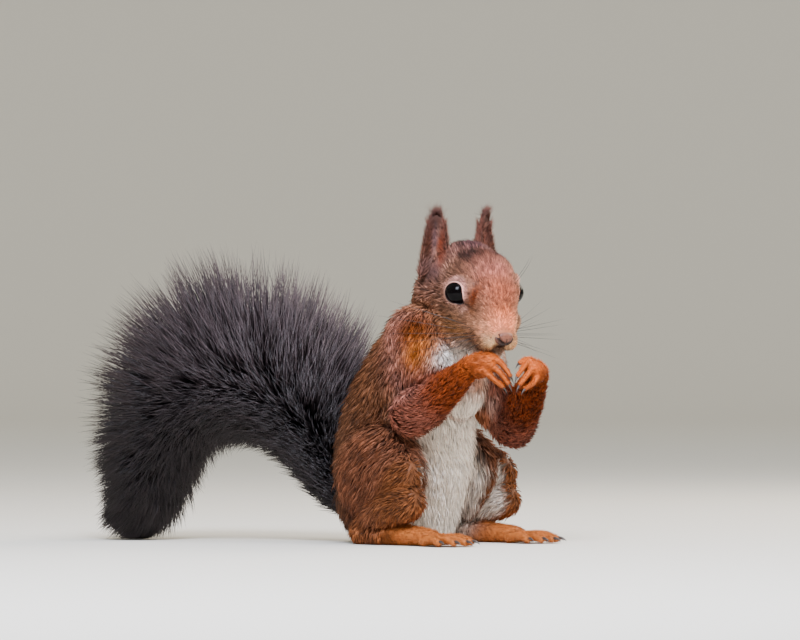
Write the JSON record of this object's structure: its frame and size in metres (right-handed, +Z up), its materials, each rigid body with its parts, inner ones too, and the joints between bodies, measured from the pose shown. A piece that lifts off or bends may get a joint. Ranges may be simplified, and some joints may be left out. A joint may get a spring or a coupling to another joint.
{
  "type": "red squirrel",
  "caption": "Still, life-size red squirrel sitting up on its haunches with both forepaws at its mouth and a bushy dark tail arched behind it, for display.",
  "frame": {"origin": "middle of the animal's box, on the floor that its feet, rump and tail end rest on", "axes": "+Z up, -Y the way the trunk faces, +Y towards the tail, +X the animal's left"},
  "size_m": [0.0998, 0.1958, 0.1355],
  "materials": {
    "body_fur": "short red-brown body coat",
    "head_fur": "short rosy brown coat of the head",
    "arm_fur": "short orange coat of the forearms",
    "ear_fur": "thin dark brown hair of the ears",
    "tail_fur": "long near-black tail hair",
    "foot_skin": "sparse orange hair over pink skin",
    "eye": "wet and glossy"
  },
  "bodies": {
    "root": {"eye_left": "eye", "eye_right": "eye", "head": "head_fur", "neck": "body_fur", "trunk": "body_fur", "ear_left": "ear_fur", "ear_right": "ear_fur", "upper_arm_left": "body_fur", "upper_arm_right": "body_fur", "forearm_left": "arm_fur", "forearm_right": "arm_fur", "hand_left": "foot_skin", "hand_right": "foot_skin", "thigh_left": "body_fur", "thigh_right": "body_fur", "shank_left": "body_fur", "shank_right": "body_fur", "foot_left": "foot_skin", "foot_right": "foot_skin", "tail_1": "tail_fur", "tail_2": "tail_fur", "tail_3": "tail_fur", "tail_4": "tail_fur"}
  },
  "joints": []
}
